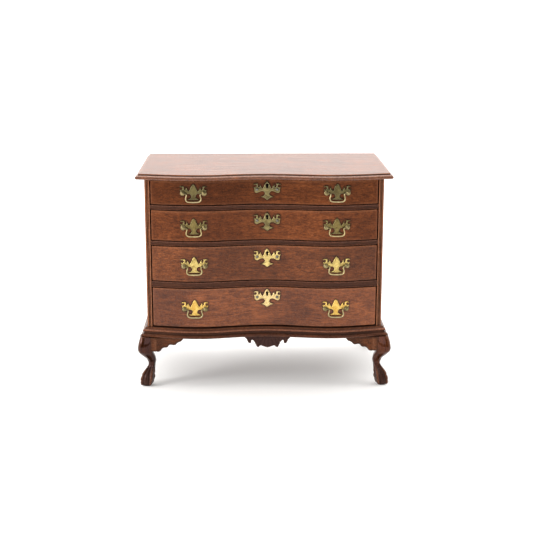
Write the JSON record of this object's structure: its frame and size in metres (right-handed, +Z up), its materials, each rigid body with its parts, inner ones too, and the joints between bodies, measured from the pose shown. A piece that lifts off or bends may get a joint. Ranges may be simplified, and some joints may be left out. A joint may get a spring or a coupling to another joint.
{
  "type": "miniature chest of drawers",
  "caption": "Miniature oxbow-front mahogany chest with sliding drawers, brass bail handles, keyhole plates, moulded top and carved claw feet.",
  "frame": {"origin": "middle of the bounding box footprint, on the floor plane under the feet", "axes": "+X to the right seen from the front, +Y to the back, +Z up; the drawers open towards -Y"},
  "size_m": [0.0852, 0.0526, 0.0723],
  "materials": {
    "top_mahogany": "glossy varnish",
    "case_mahogany": "glossy varnish",
    "front_mahogany": "glossy varnish",
    "rail_mahogany": "glossy varnish",
    "leg_mahogany": "satin varnish",
    "drawer_lining": "bare",
    "brass": "aged polished"
  },
  "bodies": {
    "case": {"top_board": "top_mahogany", "side_left": "case_mahogany", "side_right": "case_mahogany", "back_panel": "case_mahogany", "bottom_board": "rail_mahogany", "divider_1": "rail_mahogany", "divider_2": "rail_mahogany", "divider_3": "rail_mahogany", "base_moulding_front": "rail_mahogany", "base_moulding_left": "rail_mahogany", "base_moulding_right": "rail_mahogany", "skirt_drop": "leg_mahogany", "leg_front_left": "leg_mahogany", "leg_front_right": "leg_mahogany", "leg_back_left": "leg_mahogany", "leg_back_right": "leg_mahogany", "knee_bracket_front_left": "leg_mahogany", "knee_bracket_front_right": "leg_mahogany", "knee_bracket_side_left": "leg_mahogany", "knee_bracket_side_right": "leg_mahogany"},
    "drawer_1": {"drawer_1_front": "front_mahogany", "drawer_1_side_left": "drawer_lining", "drawer_1_side_right": "drawer_lining", "drawer_1_back": "drawer_lining", "drawer_1_bottom": "drawer_lining", "drawer_1_escutcheon": "brass", "drawer_1_plate_left": "brass", "drawer_1_plate_right": "brass"},
    "drawer_1_bail_left": {"drawer_1_bail_left": "brass"},
    "drawer_1_bail_right": {"drawer_1_bail_right": "brass"},
    "drawer_2": {"drawer_2_front": "front_mahogany", "drawer_2_side_left": "drawer_lining", "drawer_2_side_right": "drawer_lining", "drawer_2_back": "drawer_lining", "drawer_2_bottom": "drawer_lining", "drawer_2_escutcheon": "brass", "drawer_2_plate_left": "brass", "drawer_2_plate_right": "brass"},
    "drawer_2_bail_left": {"drawer_2_bail_left": "brass"},
    "drawer_2_bail_right": {"drawer_2_bail_right": "brass"},
    "drawer_3": {"drawer_3_front": "front_mahogany", "drawer_3_side_left": "drawer_lining", "drawer_3_side_right": "drawer_lining", "drawer_3_back": "drawer_lining", "drawer_3_bottom": "drawer_lining", "drawer_3_escutcheon": "brass", "drawer_3_plate_left": "brass", "drawer_3_plate_right": "brass"},
    "drawer_3_bail_left": {"drawer_3_bail_left": "brass"},
    "drawer_3_bail_right": {"drawer_3_bail_right": "brass"},
    "drawer_4": {"drawer_4_front": "front_mahogany", "drawer_4_side_left": "drawer_lining", "drawer_4_side_right": "drawer_lining", "drawer_4_back": "drawer_lining", "drawer_4_bottom": "drawer_lining", "drawer_4_escutcheon": "brass", "drawer_4_plate_left": "brass", "drawer_4_plate_right": "brass"},
    "drawer_4_bail_left": {"drawer_4_bail_left": "brass"},
    "drawer_4_bail_right": {"drawer_4_bail_right": "brass"}
  },
  "joints": [
    {"name": "drawer_1_slide", "type": "slide", "parent": "case", "child": "drawer_1", "axis": [0, -1, 0], "range_m": [0, 0.034]},
    {"name": "drawer_1_bail_left_swing", "type": "hinge", "parent": "drawer_1", "child": "drawer_1_bail_left", "pos_m": [-0.0231, -0.0245, 0.0661], "axis": [-1, 0, 0], "range_deg": [0, 110]},
    {"name": "drawer_1_bail_right_swing", "type": "hinge", "parent": "drawer_1", "child": "drawer_1_bail_right", "pos_m": [0.0237, -0.02448, 0.0661], "axis": [-1, 0, 0], "range_deg": [0, 110]},
    {"name": "drawer_2_slide", "type": "slide", "parent": "case", "child": "drawer_2", "axis": [0, -1, 0], "range_m": [0, 0.034]},
    {"name": "drawer_2_bail_left_swing", "type": "hinge", "parent": "drawer_2", "child": "drawer_2_bail_left", "pos_m": [-0.0231, -0.0245, 0.0547], "axis": [-1, 0, 0], "range_deg": [0, 110]},
    {"name": "drawer_2_bail_right_swing", "type": "hinge", "parent": "drawer_2", "child": "drawer_2_bail_right", "pos_m": [0.0237, -0.02448, 0.0547], "axis": [-1, 0, 0], "range_deg": [0, 110]},
    {"name": "drawer_3_slide", "type": "slide", "parent": "case", "child": "drawer_3", "axis": [0, -1, 0], "range_m": [0, 0.034]},
    {"name": "drawer_3_bail_left_swing", "type": "hinge", "parent": "drawer_3", "child": "drawer_3_bail_left", "pos_m": [-0.0231, -0.0245, 0.0418], "axis": [-1, 0, 0], "range_deg": [0, 110]},
    {"name": "drawer_3_bail_right_swing", "type": "hinge", "parent": "drawer_3", "child": "drawer_3_bail_right", "pos_m": [0.0237, -0.02448, 0.0418], "axis": [-1, 0, 0], "range_deg": [0, 110]},
    {"name": "drawer_4_slide", "type": "slide", "parent": "case", "child": "drawer_4", "axis": [0, -1, 0], "range_m": [0, 0.034]},
    {"name": "drawer_4_bail_left_swing", "type": "hinge", "parent": "drawer_4", "child": "drawer_4_bail_left", "pos_m": [-0.0231, -0.0245, 0.0272], "axis": [-1, 0, 0], "range_deg": [0, 110]},
    {"name": "drawer_4_bail_right_swing", "type": "hinge", "parent": "drawer_4", "child": "drawer_4_bail_right", "pos_m": [0.0237, -0.02448, 0.0272], "axis": [-1, 0, 0], "range_deg": [0, 110]}
  ]
}
